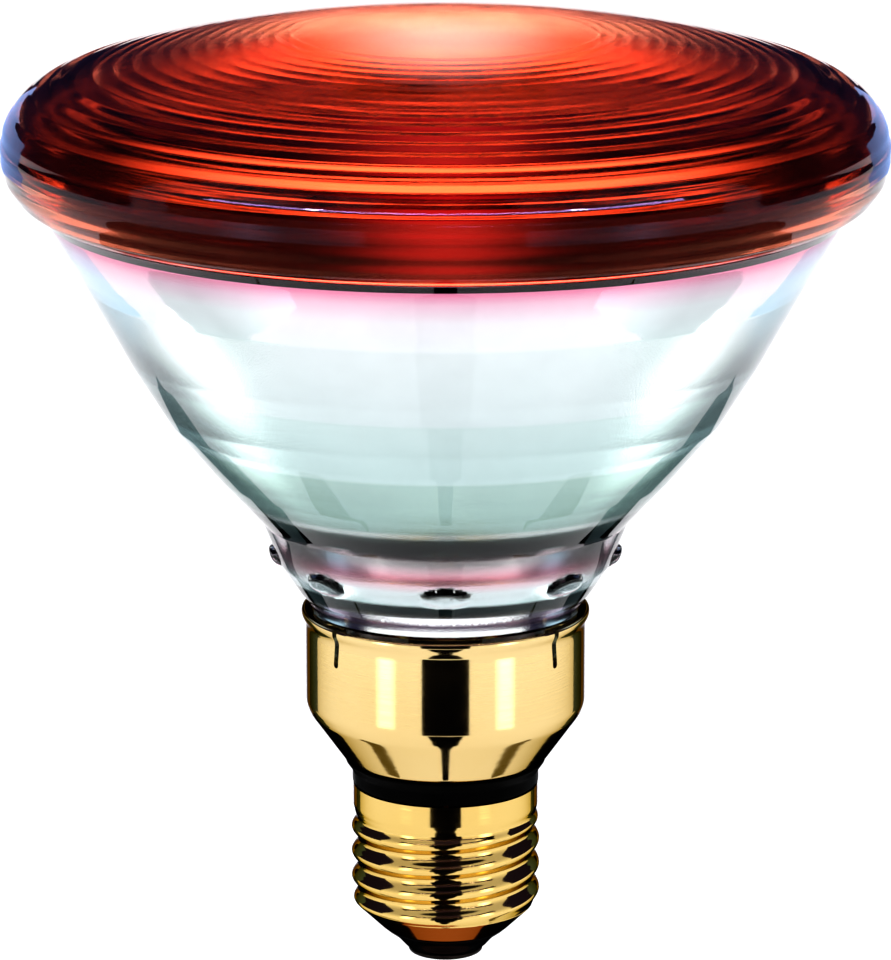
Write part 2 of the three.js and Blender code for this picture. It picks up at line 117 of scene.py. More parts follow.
def soft_box(name, azimuth, elevation, distance, width, height, radiance, kinds):
    """A rectangular softbox facing the lamp, with sizes in degrees as seen from the lamp."""
    data = bpy.data.lights.new(name, "AREA")
    data.shape = "RECTANGLE"
    data.size = 2 * distance * math.tan(math.radians(width / 2))
    data.size_y = 2 * distance * math.tan(math.radians(height / 2))
    data.energy = radiance * math.pi * data.size * data.size_y
    light = bpy.data.objects.new(name, data)
    light.location = toward(azimuth, elevation, distance)
    facing = Vector((0, 0, LAMP_MIDDLE)) - light.location
    light.rotation_euler = facing.to_track_quat("-Z", "Y").to_euler()
    bpy.context.scene.collection.objects.link(light)
    only_in(light, kinds)


def card(name, azimuths, low, high, paint, kinds):
    """A bent studio card round the lamp. low and high are the (radius, height) of its edges, in metres,
    and azimuths are its two ends, in degrees from the camera's side."""
    steps = 16
    vertices, faces = [], []
    for i in range(steps + 1):
        azimuth = math.radians(azimuths[0] + (azimuths[1] - azimuths[0]) * i / steps)
        for radius, height in (low, high):
            vertices.append((math.sin(azimuth) * radius, -math.cos(azimuth) * radius, height))
    for i in range(steps):
        faces.append((2 * i, 2 * i + 2, 2 * i + 3, 2 * i + 1))
    made = bpy.data.objects.new(name, bpy.data.meshes.new(name))
    made.data.from_pydata(vertices, [], faces)
    made.data.materials.append(paint)
    bpy.context.scene.collection.objects.link(made)
    only_in(made, kinds)
    made.visible_shadow = False


def card_pair(name, azimuths, low, high, paint, kinds):
    """The same card on both sides of the lamp."""
    for side, word in SIDES:
        card(name + "_" + word, (azimuths[0] * side, azimuths[1] * side), low, high, paint, kinds)


def black_paint():
    surface = Surface("card_black")
    surface.set(Base_Color=(0.003, 0.003, 0.003, 1), Roughness=1.0, Specular_IOR_Level=0.0)
    return surface.material


def lit_paint(name, colour, strength):
    surface = Surface(name)
    surface.set(Base_Color=(0, 0, 0, 1), Emission_Color=(*colour, 1), Emission_Strength=strength)
    return surface.material


def graded_paint():
    """White that fades upwards, for the large side cards."""
    surface = Surface("card_white")
    surface.set(Base_Color=(0, 0, 0, 1), Emission_Color=(1, 1, 1, 1))
    surface.feed("Emission Strength", surface.remap(surface.height(), -0.20, 0.80, 0.85, 0.45))
    return surface.material


def shade_paint():
    """Pale blue-green that darkens from the front of the lamp to its sides."""
    surface = Surface("card_shade")
    surface.set(Base_Color=(0, 0, 0, 1), Emission_Color=(0.90, 1.0, 1.0, 1))
    split = surface.node("ShaderNodeSeparateXYZ")
    surface.link(surface.place(), split.inputs[0])
    surface.feed("Emission Strength", surface.remap(split.outputs["Y"], -0.17, 0.02, 1.0, 0.62))
    return surface.material


def glow_paint(name, colour, half_width, middle, half_height, strength):
    """A light that fades smoothly away from X = 0 and from the height called middle, in metres."""
    surface = Surface(name)
    surface.set(Base_Color=(0, 0, 0, 1), Emission_Color=(*colour, 1))
    scaled = surface.node("ShaderNodeVectorMath", operation="MULTIPLY_ADD")
    scaled.inputs[1].default_value = (1 / half_width, 0, 1 / half_height)
    scaled.inputs[2].default_value = (0, 0, -middle / half_height)
    surface.link(surface.place(), scaled.inputs[0])
    away = surface.node("ShaderNodeVectorMath", operation="LENGTH")
    surface.link(scaled.outputs["Vector"], away.inputs[0])
    fade = surface.node("ShaderNodeMapRange", interpolation_type="SMOOTHSTEP")
    surface.link(away.outputs["Value"], fade.inputs["Value"])
    for socket, value in (("From Min", 0), ("From Max", 1), ("To Min", strength), ("To Max", 0)):
        fade.inputs[socket].default_value = value
    surface.feed("Emission Strength", fade.outputs["Result"])
    return surface.material


def make_world():
    world = bpy.data.worlds.new("studio")
    world.use_nodes = True
    background = world.node_tree.nodes["Background"]
    background.inputs["Color"].default_value = (0.45, 0.35, 1.0, 1)
    background.inputs["Strength"].default_value = 0.04
    bpy.context.scene.world = world
    bpy.context.scene.view_settings.view_transform = "Standard"
    bpy.context.scene.view_settings.look = "High Contrast"


def make_lights():
    """A wash for matt surfaces, and two soft vertical strips for the brass. Each strip is a nest of
    lights at slightly different distances, because a ray counts only one of those in the same plane."""
    wash = bpy.data.lights.new("wash", "SUN")
    wash.energy = 3.0
    wash.angle = math.radians(90)
    washer = bpy.data.objects.new("wash", wash)
    bpy.context.scene.collection.objects.link(washer)
    only_in(washer, "diffuse")
    for side, word in SIDES:
        for k in range(STRIPS):
            name = "strip_%s_%d" % (word, k)
            away, width, height = 0.95 + 0.01 * k, 1.5 + 3 * k, 48 + 2 * k
            soft_box(name, STRIP_AZIMUTH * side, 8, away, width, height, 0.22, "glossy")


def make_cards():
    black = black_paint()
    reflected_cards(black)
    cards_through_glass(black)


def reflected_cards(black):
    """Cards seen in the polished brass and on the face of the glass."""
    white = graded_paint()
    card("card_front", (-19, 19), (0.45, -0.15), (0.45, 0.27), black, "glossy")
    card("card_front_low", (-14, 14), (0.16, -0.29), (0.16, -0.03), black, "glossy")
    card("card_brow", (-64, 64), (0.20, 0.115), (0.20, 0.168), black, "glossy")
    card("card_collar", (-58, 58), (0.0575, 0.1045), (0.085, 0.1045), black, "glossy")
    card("card_behind", (140, 220), (0.15, -0.27), (0.15, -0.025), black, "glossy")
    card_pair("card_fill", (19.5, 85), (1.15, -0.29), (1.15, 1.9), white, "glossy")
    card_pair("card_fill_far", (85, 125), (1.15, -0.29), (1.15, -0.19), white, "glossy")
    slate = lit_paint("card_slate", (0.36, 0.52, 0.95), 1.1)
    card_pair("card_wedge", (112, 141), (0.12, 0.090), (0.12, 0.130), slate, "glossy")
    card("card_under", (-9, 9), (0.012, -0.05), (0.10, -0.05), black, "glossy")
    brown = lit_paint("card_brown", (0.40, 0.15, 0.08), 1.0)
    card("card_tip", (130, 230), (0.012, -0.12), (0.075, -0.12), brown, "glossy")
    shine = glow_paint("card_shine", (1.0, 0.93, 0.97), 0.19, 0.93, 0.60, 1.15)
    card("card_shine", (175, 185), (2.2, 0.30), (2.2, 1.55), shine, "glossy")
    olive = lit_paint("card_olive", (1.0, 0.8, 0.1), 0.12)
    card_pair("card_smudge", (104, 116), (0.07, -0.12), (0.11, -0.10), olive, "glossy")
    bar = lit_paint("card_bar", (1.0, 0.70, 1.0), 24)
    card("card_brow_bar", (-62, 62), (0.50, 0.290), (0.50, 0.340), bar, "glossy")
    spark = lit_paint("card_spark", (1.0, 0.9, 1.0), 90)
    card_pair("card_spark", (31, 35), (0.49, 0.285), (0.49, 0.345), spark, "glossy")


def cards_through_glass(black):
    """Cards seen through the lens, in the mirror film and in the neck. Dusk also shows in the brass."""
    card("card_back", (150, 210), (1.20, -0.09), (1.20, 0.108), black, "transmission")
    glow = glow_paint("card_glow", (1, 1, 1), 0.15, 0.17, 0.32, 5.0)
    card("card_glow", (166, 194), (1.0, 0.108), (1.0, 0.50), glow, "transmission")
    over = glow_paint("card_over", (1.0, 0.55, 1.1), 0.78, 1.0, 2.0, 0.62)
    card("card_over", (-75, 75), (0.80, 0.70), (0.80, 1.30), over, "transmission")
    card_pair("card_back_side", (118, 165), (1.2, -0.19), (1.2, 0.12), black, "transmission")
    neck = lit_paint("card_neck", (1, 1, 1), 1.1)
    card("card_neck", (-85, 85), (0.70, -0.19), (0.70, 0.275), neck, "transmission")
    window = lit_paint("card_window", (1, 1, 1), 1.6)
    card_pair("card_window", (109, 134), (0.30, -0.285), (0.30, -0.12), window, "transmission")
    dusk = lit_paint("card_dusk", (0.06, 0.10, 0.11), 1.0)
    card_pair("card_dusk", (122, 143), (0.10, 0.006), (0.10, 0.040), dusk, "glossy transmission")
    card_pair("card_dusk_low", (128, 143), (0.10, -0.03), (0.10, 0.006), dusk, "glossy transmission")
    card_pair("card_shade", (58, 109), (0.31, -0.285), (0.31, -0.10), shade_paint(), "transmission")
    sky = lit_paint("card_sky", (0.50, 0.68, 0.80), 1.0)
    card_pair("card_sky", (110, 143), (0.10, 0.045), (0.10, 0.092), sky, "transmission")


# ---------------------------------------------------------------- materials

GLASS_IOR = 1.47
BLACK = (0.001, 0.001, 0.001)


class Surface:
    """A node material with a Principled shader and short calls for the nodes that feed it."""

    def __init__(self, name):
        self.material = bpy.data.materials.new(name + "_look")
        self.material.use_nodes = True
        self.tree = self.material.node_tree
        self.shader = self.tree.nodes["Principled BSDF"]

    def set(self, **values):
        for name, value in values.items():
            self.shader.inputs[name.replace("_", " ")].default_value = value

    def node(self, kind, **settings):
        made = self.tree.nodes.new(kind)
        for name, value in settings.items():
            setattr(made, name, value)
        return made

    def link(self, source, target):
        self.tree.links.new(source, target)

    def feed(self, name, source):
        self.link(source, self.shader.inputs[name])

    def place(self):
        """Object coordinates, which are the row frame in metres."""
        return self.node("ShaderNodeTexCoord").outputs["Object"]

    def height(self):
        split = self.node("ShaderNodeSeparateXYZ")
        self.link(self.place(), split.inputs[0])
        return split.outputs["Z"]

    def noise(self, scale, detail=3.0, roughness=0.5, stretch=(1, 1, 1)):
        mapping = self.node("ShaderNodeMapping")
        mapping.inputs["Scale"].default_value = stretch
        self.link(self.place(), mapping.inputs["Vector"])
        made = self.node("ShaderNodeTexNoise")
        made.inputs["Scale"].default_value = scale
        made.inputs["Detail"].default_value = detail
        made.inputs["Roughness"].default_value = roughness
        self.link(mapping.outputs["Vector"], made.inputs["Vector"])
        return made.outputs["Fac"]

    def remap(self, source, low, high, to_low, to_high):
        made = self.node("ShaderNodeMapRange")
        self.link(source, made.inputs["Value"])
        for name, value in (
            ("From Min", low),
            ("From Max", high),
            ("To Min", to_low),
            ("To Max", to_high),
        ):
            made.inputs[name].default_value = value
        return made.outputs["Result"]

    def ramp(self, source, stops):
        """stops: (position, colour) pairs from low to high."""
        made = self.node("ShaderNodeValToRGB")
        elements = made.color_ramp.elements
        for position, _ in stops[2:]:
            elements.new(position)
        for element, (position, colour) in zip(elements, stops):
            element.position = position
            element.color = (*colour, 1)
        self.link(source, made.inputs["Fac"])
        return made.outputs["Color"]

    def mottle(self, source, dark, light):
        """Colours the surface between two tones, by a noise."""
        self.feed("Base Color", self.ramp(source, [(0.3, dark), (0.7, light)]))

    def product(self, first, second):
        made = self.node("ShaderNodeMix", data_type="RGBA", blend_type="MULTIPLY")
        made.inputs["Factor"].default_value = 1.0
        self.link(first, made.inputs[6])
        self.link(second, made.inputs[7])
        return made.outputs[2]

    def bump(self, source, strength, distance):
        made = self.node("ShaderNodeBump")
        made.inputs["Strength"].default_value = strength
        made.inputs["Distance"].default_value = distance
        self.link(source, made.inputs["Height"])
        self.feed("Normal", made.outputs["Normal"])


def red_glass():
    surface = Surface("red_glass")
    surface.set(Transmission_Weight=1.0, IOR=GLASS_IOR)
    surface.set(Specular_Tint=(0.35, 0.30, 0.45, 1))
    surface.mottle(surface.noise(40, 2), (0.91, 0.27, 0.16), (0.95, 0.31, 0.19))
    surface.feed("Roughness", surface.remap(surface.noise(160), 0.3, 0.7, 0.04, 0.08))
    surface.bump(surface.noise(50, 2, 0.5, stretch=(1, 1, 4)), 0.03, 0.0008)
    return surface.material


def clear_glass():
    surface = Surface("clear_glass")
    surface.set(Transmission_Weight=1.0, IOR=GLASS_IOR)
    surface.set(Specular_Tint=(0.50, 0.55, 0.55, 1))
    surface.mottle(surface.noise(50, 2), (0.93, 0.975, 0.97), (0.96, 0.99, 0.985))
    surface.feed("Roughness", surface.remap(surface.noise(120), 0.3, 0.7, 0.01, 0.03))
    surface.bump(surface.noise(40, 2), 0.02, 0.0006)
    return surface.material


def mirror_film():
    """Bright and smooth near the lens under a painted pink glow of the red lens light, then three
    stippled bands whose tones, greener toward the neck, are painted reflection, a painted shade line at
    the lip under a painted highlight line, a painted pink glow of lens light inside the neck and a
    painted shade ring near its foot. The stops go from the foot of the neck up."""
    surface = Surface("mirror_film")
    surface.set(Metallic=1.0)
    height = surface.remap(surface.height(), 0.050, 0.110, 0, 1)
    band_edge = 0.814
    bands = [
        (0.0, (0.96, 0.97, 0.97)),
        (0.088, (0.94, 0.96, 0.96)),
        # painted shade: a dark ring near the foot of the neck
        (0.092, (0.01, 0.018, 0.018)),
        (0.118, (0.015, 0.025, 0.025)),
        # painted reflection: grey-green tone in the neck
        (0.124, (0.70, 0.80, 0.81)),
        (0.148, (0.80, 0.86, 0.88)),
        # painted light: pink glow of the red lens light inside the neck
        (0.170, (0.92, 0.62, 0.69)),
        (0.187, (0.92, 0.40, 0.50)),
        (0.207, (0.92, 0.64, 0.71)),
        (0.225, (0.92, 0.86, 0.89)),
        (0.258, (0.84, 0.68, 0.72)),
        # painted shade: the dark line at the lip
        (0.266, (0.05, 0.085, 0.08)),
        (0.308, (0.10, 0.16, 0.14)),
        # painted highlight: the white line above the lip
        (0.314, (0.80, 0.88, 0.86)),
        (0.322, (0.80, 0.88, 0.86)),
        # the three stippled bands: the stipple is real, their tones, darker and greener toward the neck,
        # are painted reflection
        (0.330, (0.40, 0.56, 0.52)),
        (0.470, (0.50, 0.65, 0.61)),
        (0.474, (0.63, 0.77, 0.76)),
        (0.621, (0.71, 0.83, 0.82)),
        (0.625, (0.79, 0.87, 0.875)),
        (band_edge, (0.87, 0.91, 0.915)),
        (band_edge + 0.004, (0.94, 0.95, 0.97)),
        # painted light: pink glow of the red lens light near the lens
        (0.890, (0.94, 0.88, 0.92)),
        (0.935, (0.93, 0.62, 0.74)),
        (0.965, (0.90, 0.30, 0.46)),
    ]
    film_tone_with_painted_light = surface.ramp(height, bands)
    cloud = surface.ramp(surface.noise(60, 4), [(0.3, (0.90, 0.90, 0.90)), (0.7, (1.0, 1.0, 1.0))])
    surface.feed("Base Color", surface.product(film_tone_with_painted_light, cloud))
    frosted = surface.remap(height, band_edge, band_edge + 0.004, 1, 0)
    grain = surface.noise(3200, 2)
    surface.feed("Roughness", surface.remap(frosted, 0, 1, 0.04, 0.16))
    stipple = surface.node("ShaderNodeMath", operation="MULTIPLY")
    surface.link(grain, stipple.inputs[0])
    surface.link(frosted, stipple.inputs[1])
    surface.bump(stipple.outputs[0], 0.12, 0.0001)
    return surface.material


def brass(name, dark, light):
    surface = Surface(name)
    # Painted shade: the near-black edge tint darkens the brass toward its silhouettes.
    surface.set(Metallic=1.0, Specular_Tint=(0.10, 0.06, 0.02, 1))
    surface.mottle(surface.noise(35, 4), dark, light)
    surface.feed("Roughness", surface.remap(surface.noise(180, 4, 0.6), 0.3, 0.7, 0.05, 0.11))
    drawn = surface.noise(90, 3, 0.5, stretch=(1, 1, 14))
    surface.bump(drawn, 0.03, 0.0002)
    return surface.material


def dull_paint(name, dark, light, specular, smooth, rough, scale, metallic=0.0):
    """A dark surface with mottling, for insulation, black glass and metal darkened to near black as
    painted shade.
    """
    surface = Surface(name)
    surface.set(Specular_IOR_Level=specular, Metallic=metallic)
    surface.mottle(surface.noise(scale, 3), dark, light)
    surface.feed("Roughness", surface.remap(surface.noise(scale * 0.7), 0.3, 0.7, smooth, rough))
    surface.bump(surface.noise(scale * 2), 0.1, 0.0002)
    return surface.material


def black_insulation():
    return dull_paint("black_insulation", BLACK, (0.003, 0.003, 0.003), 0.02, 0.3, 0.5, 300)


def black_glass():
    return dull_paint("black_glass", BLACK, (0.003, 0.003, 0.004), 0.02, 0.1, 0.2, 120)


# Painted shade: the centre contact and its solder are coloured near black where the underside of the cap
# lies in shade.
def shade_darkened_metal(name):
    return dull_paint(name, (0.010, 0.009, 0.007), (0.030, 0.026, 0.020), 0.1, 0.35, 0.6, 250, 0.8)


def plain_metal(name, dark, light, smooth, rough, scale=200):
    surface = Surface(name)
    surface.set(Metallic=1.0)
    surface.mottle(surface.noise(scale, 4), dark, light)
    surface.feed("Roughness", surface.remap(surface.noise(scale * 1.7), 0.3, 0.7, smooth, rough))
    surface.bump(surface.noise(scale * 2.5), 0.12, 0.0002)
    return surface.material


def white_ceramic():
    surface = Surface("white_ceramic")
    surface.mottle(surface.noise(250, 4), (0.78, 0.75, 0.68), (0.88, 0.86, 0.80))
    surface.feed("Roughness", surface.remap(surface.noise(400), 0.3, 0.7, 0.45, 0.65))
    surface.bump(surface.noise(900), 0.2, 0.0002)
    return surface.material


# ---------------------------------------------------------------- mesh making

def line(*points):
    return [Vector(p) * MM for p in points]


def curve(start, control, end, steps):
    """A quadratic curve in (radius, height), given in millimetres, without its first point."""
    a, b, c = Vector(start), Vector(control), Vector(end)
    points = []
    for i in range(1, steps + 1):
        t = i / steps
        points.append((a * (1 - t) ** 2 + b * 2 * t * (1 - t) + c * t**2) * MM)
    return points


def refined(points, longest):
    """The same outline with no stretch longer than the given length."""
    out = [points[0]]
    for a, b in zip(points, points[1:]):
        count = max(1, math.ceil((b - a).length / longest))
        out.extend(a.lerp(b, i / count) for i in range(1, count + 1))
    return out


def rounded(points, radius, steps=4):
    """An open outline with its inner corners cut by short curves."""
    out = [points[0]]
    for before, corner, after in zip(points, points[1:], points[2:]):
        back = min(radius, (before - corner).length * 0.45)
        ahead = min(radius, (after - corner).length * 0.45)
        a = corner.lerp(before, back / (before - corner).length)
        c = corner.lerp(after, ahead / (after - corner).length)
        for i in range(steps + 1):
            t = i / steps
            out.append(a * (1 - t) ** 2 + corner * 2 * t * (1 - t) + c * t**2)
    out.append(points[-1])
    return out


def smooth_step(x, low, high):
    t = min(max((x - low) / (high - low), 0), 1)
    return t * t * (3 - 2 * t)


def inward_step(points, i, distance):
    """The step from an outline's point towards the inside of its glass."""
    tangent = (points[i + 1] - points[i - 1]).normalized()
    return Vector((-tangent.y, tangent.x)) * distance


def add_mesh(name, vertices, faces, sharp=SHARP_EDGE):
    mesh = bpy.data.meshes.new(name)
    mesh.from_pydata(vertices, [], faces)
    mesh.validate()
    mesh.polygons.foreach_set("use_smooth", [True] * len(mesh.polygons))
    mesh.set_sharp_from_angle(angle=math.radians(sharp))
    made = bpy.data.objects.new(name, mesh)
    bpy.context.scene.collection.objects.link(made)
    return made


def spun(name, outline, sides, shape=None, closed=True, sharp=SHARP_EDGE):
    """A solid turned about Z. The outline of (radius, height) runs anticlockwise. It starts and ends on
    the axis or, when closed, returns to its start. shape(azimuth, radius, height) moves its points."""
    on_axis = 1e-7
    vertices, rings = [], []
    for r, z in outline:
        first = len(vertices)
        if r < on_axis:
            vertices.append((0, 0, z))
            rings.append([first] * sides)
            continue
        for j in range(sides):
            angle = 2 * math.pi * j / sides
            rr, zz = shape(angle, r, z) if shape else (r, z)
            vertices.append((rr * math.cos(angle), rr * math.sin(angle), zz))
        rings.append(list(range(first, first + sides)))
    pairs = list(zip(rings, rings[1:]))
    if closed:
        pairs.append((rings[-1], rings[0]))
    faces = []
    for low, high in pairs:
        for j in range(sides):
            k = (j + 1) % sides
            face = [low[j], low[k], high[k], high[j]]
            corners = list(dict.fromkeys(face))
            if len(corners) > 2:
                faces.append(corners)
    return add_mesh(name, vertices, faces, sharp)


def tube(name, points, radius, sides=12):
    """A round wire along a list of points, with flat ends."""
    points = [Vector(p) for p in points]
    vertices, faces = [], []
    tangent = (points[1] - points[0]).normalized()
    side = tangent.orthogonal().normalized()
    for i, p in enumerate(points):
        ahead = points[min(i + 1, len(points) - 1)] - points[max(i - 1, 0)]
        turn = tangent.rotation_difference(ahead.normalized())
        side = turn @ side
        tangent = ahead.normalized()
        other = tangent.cross(side).normalized()
        for j in range(sides):
            angle = 2 * math.pi * j / sides
            vertices.append(p + (side * math.cos(angle) + other * math.sin(angle)) * radius)
    for i in range(len(points) - 1):
        for j in range(sides):
            k = (j + 1) % sides
            a, b = i * sides, (i + 1) * sides
            faces.append((a + j, a + k, b + k, b + j))
    faces.append(tuple(reversed(range(sides))))
    last = (len(points) - 1) * sides
    faces.append(tuple(range(last, last + sides)))
    return add_mesh(name, vertices, faces, 50)


def finish_piece(piece, material, slot, *nodes):
    piece.data.materials.append(material)
    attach(piece, BODY)
    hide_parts(*nodes)


# ---------------------------------------------------------------- lens

DOME_RADIUS = 191.8
DOME_EDGE = 52.3
LENS_WALL = 3.2
WIDEST = 115.9                            # height of the flange's widest ring
SEAM_HALF_GAP = 0.03                      # half of the hairline between lens and bowl
RIDGE_START = 21.0                        # radius of the plain middle, in millimetres
RIDGE_DEPTH = 0.07
RIDGE_COUNT = 17


def dome(edge, sphere, apex, steps):
    """Outline of a sphere cap from the axis outwards, in millimetres."""
    points = []
    for i in range(steps + 1):
        r = edge * i / steps
        points.append(Vector((r, apex - sphere + math.sqrt(sphere**2 - r**2))))
    return points


def lens_outside():
    """Flange, shoulder and dome from the seam to the apex, in metres, with ring ridges."""
    apex, radius, seam = LENS_APEX / MM, LENS_RADIUS / MM, SEAM / MM
    foot = (SEAM_RADIUS / MM, seam + SEAM_HALF_GAP)
    shoulder = (57.2, 123.4)
    edge = dome(DOME_EDGE, DOME_RADIUS, apex, 1)[-1]
    path = line(foot)
    path += curve(foot, (60.2, 110.4), (radius, WIDEST), 14)
    path += curve((radius, WIDEST), (60.7, 120.6), shoulder, 14)
    path += curve(shoulder, (55.4, 124.9), edge, 10)
    path += [p * MM for p in reversed(dome(DOME_EDGE, DOME_RADIUS, apex, 60)[:-1])]
    return ridged(flange_ridges(refined(path, 0.25 * MM)))


def flange_ridges(points):
    """Four faint rings round the flange, under the shoulder."""
    low, high, count, depth = 110.2, 119.4, 4, 0.10
    out = list(points)
    for i, p in enumerate(points):
        t = (p.y / MM - low) / (high - low)
        if 0 < t < 1 and p.x > 57 * MM:
            out[i] = p + inward_step(points, i, depth * MM * math.sin(math.pi * count * t) ** 2)
    return out


def ridged(points):
    """Presses round ridges with sharp valleys between them into the face, from the shoulder inwards."""
    shoulder = 120.4 * MM
    face = [i for i, p in enumerate(points) if p.y > shoulder and p.x > RIDGE_START * MM]
    along = [0.0]
    for i in face[1:]:
        along.append(along[-1] + (points[i] - points[i - 1]).length)
    total = along[-1]
    crowd = 0.18                          # the ridges are closer together near the shoulder
    out = list(points)
    for i, s in zip(face, along):
        t = s / total
        turn = RIDGE_COUNT * ((1 - t) * (1 + crowd * (t - 0.5)))
        fade = 0.10 + 0.90 * smooth_step(t, 0.60, 0.10)
        dent = fade * RIDGE_DEPTH * MM * (1 - abs(math.sin(math.pi * turn)))
        out[i] = points[i] + inward_step(points, i, dent)
    return out


def lens_inside():
    """From the axis down to the seam, in metres."""
    apex, seam = LENS_APEX / MM, SEAM / MM
    inner = LENS_RADIUS / MM - LENS_WALL
    foot = (SEAM_RADIUS / MM - LENS_WALL, seam + SEAM_HALF_GAP)
    cap = dome(DOME_EDGE - LENS_WALL, DOME_RADIUS - LENS_WALL, apex - LENS_WALL, 30)
    path = [p * MM for p in cap]
    path += curve(cap[-1], (inner, 120.6), (inner, WIDEST), 10)
    path += curve((inner, WIDEST), (inner, 111.8), foot, 10)
    return path


def make_lens():
    outline = lens_inside() + lens_outside()
    lens = spun("lens_glass", outline, 256, closed=False, sharp=60)
    finish_piece(lens, red_glass(), "red_glass", "front_lens")


# ---------------------------------------------------------------- bowl and mirror

PARABOLA = 51.4
PARABOLA_VERTEX = 55.6
CAVITY_FLOOR = 51.1
LUGS = 8
FLARE = 108.4                             # above this the silvered wall runs out to the rim
RIM = (SEAM_RADIUS / MM - 0.5, SEAM / MM - 0.09)
NECK_WALL = [(13.6, CAVITY_FLOOR), (14.0, 51.6), (14.2, 55.4), (16.4, 56.0), (20.3, 64.2)]
PARABOLA_FOOT = 22.7                      # radius at which the parabola starts
FILM_SINK = 0.03 * MM                     # the silvering sits this far into the glass
FILM_SKIN = 0.1 * MM


def reflector_wall(rim):
    """The reflecting wall from the floor of the neck to the given height, in millimetres."""
    top = math.sqrt(PARABOLA * (rim - PARABOLA_VERTEX))
    steps = 40
    parabola = []
    for i in range(steps + 1):
        r = PARABOLA_FOOT + (top - PARABOLA_FOOT) * i / steps
        parabola.append((r, PARABOLA_VERTEX + r**2 / PARABOLA))
    return [Vector(p) for p in NECK_WALL + parabola]


def bowl_outside():
    """Heel, neck, lip and bands, from the axis up to the seam, in metres."""
    heel = line((0, 45.1), (16.4, 45.1)) + curve((16.4, 45.1), (18.4, 45.1), (18.4, 47.1), 5)
    heel += line((18.4, 50.6)) + curve((18.4, 50.6), (18.7, 52.2), (20.4, 54.0), 5)
    bands = line(
        (20.4, 54.0),
        (23.0, 58.0),
        (25.5, 64.2),
        (26.1, 64.9),
        (31.8, 71.1),
        (38.3, 78.9),
        (43.3, 87.0),
        (50.5, 100.2),
        (54.8, 107.6),
        (SEAM_RADIUS / MM, SEAM / MM - SEAM_HALF_GAP),
    )
    return refined(heel[:-1] + rounded(bands, 0.3 * MM), 0.3 * MM)


def lugs(angle, r, z):
    """Low rounded lugs round the neck."""
    half_width, half_height, middle, stand = 3.4 * MM, 1.6 * MM, 58.4 * MM, 1.1 * MM
    inside_neck = 20 * MM
    spacing = 2 * math.pi / LUGS
    away = (angle - FRONT + spacing / 2) % spacing - spacing / 2
    across = away * r / half_width
    up = (z - middle) / half_height
    reach = 1 - across**2 - up**2
    if reach <= 0 or r < inside_neck:
        return r, z
    return r + stand * reach * (2 - reach), z


def make_bowl():
    inside = line(RIM) + [p * MM for p in reversed(reflector_wall(FLARE))]
    outline = bowl_outside() + inside + line((0, CAVITY_FLOOR))
    bowl = spun("bowl_glass", outline, 256, shape=lugs, closed=False, sharp=30)
    finish_piece(bowl, clear_glass(), "clear_glass", "reflector_bowl")


def make_mirror():
    """The silvering, sunk a hair into the glass so that the two touch with no air between them."""
    wall = [p * MM for p in reflector_wall(FLARE)][1:] + line(RIM)
    outer = [p + Vector((FILM_SINK, -FILM_SINK)) for p in wall]
    depth = FILM_SKIN - FILM_SINK
    inner = [p + Vector((-depth, depth)) for p in reversed(wall)]
    mirror = spun("mirror_coat", outer + inner, 192)
    finish_piece(mirror, mirror_film(), "mirror_film", "mirror_layer")


# ---------------------------------------------------------------- cap

THREAD_PITCH = 3.629
THREAD_CREST = 13.15
THREAD_ROOT = 12.25
THREAD_MEAN = (THREAD_CREST + THREAD_ROOT) / 2
THREAD_START = 2.85                       # height at +X of a crest, if the thread ran on downwards
THREAD_BOTTOM = 8.6
THREAD_END = 21.8


def thread(angle, r, z):
    """Moves points of the shell's wall onto the rolled right-hand thread."""
    height = z / MM
    if not THREAD_BOTTOM - 1.2 < height < THREAD_END or r < THREAD_ROOT * MM - 1e-6:
        return r, z
    depth = (THREAD_CREST - THREAD_ROOT) / 2
    azimuth = math.atan2(math.sin(angle), math.cos(angle))
    turns = (height - THREAD_START) / THREAD_PITCH - azimuth / (2 * math.pi)
    run_in = smooth_step(height, THREAD_BOTTOM - 1.2, THREAD_BOTTOM + 1.2)
    run_out = 1 - smooth_step(height, THREAD_END - 1.8, THREAD_END)
    swing = depth * run_in * run_out * math.cos(2 * math.pi * turns)
    return r + swing * MM, z


def make_shell():
    wall = [(THREAD_MEAN, THREAD_BOTTOM), (THREAD_MEAN, THREAD_END)]
    outside = line((9.1, 4.9), (12.3, 8.0), *wall, (12.9, 22.4), (12.9, 25.6))
    outside = refined(rounded(outside, 0.4 * MM), 0.12 * MM)
    inside = line((11.7, 25.6), (11.7, 8.9), (8.6, 5.5))
    shell = spun("shell_brass", outside + inside, 192, shape=thread)
    metal = brass("brass", (0.80, 0.57, 0.20), (0.87, 0.66, 0.27))
    finish_piece(shell, metal, "brass", "screw_shell")


def make_skirt():
    outside = line(
        (12.4, 29.5),
        (14.1, 29.5),
        (18.9, 36.2),
        (19.4, 37.6),
        (19.4, 49.2),
        (20.0, 50.2),
        (20.0, 50.9),
        (19.65, 51.1),
        (19.3, 50.8),
        (18.85, 49.4),
        (18.85, 37.6),
        (13.8, 30.05),
        (12.4, 30.05),
    )
    outline = refined(rounded(outside, 0.5 * MM), 0.6 * MM)
    skirt = spun("skirt_brass", outline, 256)
    cut_slits(skirt)
    metal = brass("skirt_metal", (0.82, 0.62, 0.29), (0.88, 0.70, 0.37))
    finish_piece(skirt, metal, "brass", "brass_skirt")


def cut_slits(skirt):
    """Two leaning slits at the front and two at the back."""
    spread, lean = 49.5, 5
    for face in (-90, 90):
        for side in (-1, 1):
            carve(skirt, slit_cutter(math.radians(face + side * spread), math.radians(side * lean)))
    skirt.data.set_sharp_from_angle(angle=math.radians(SHARP_EDGE))


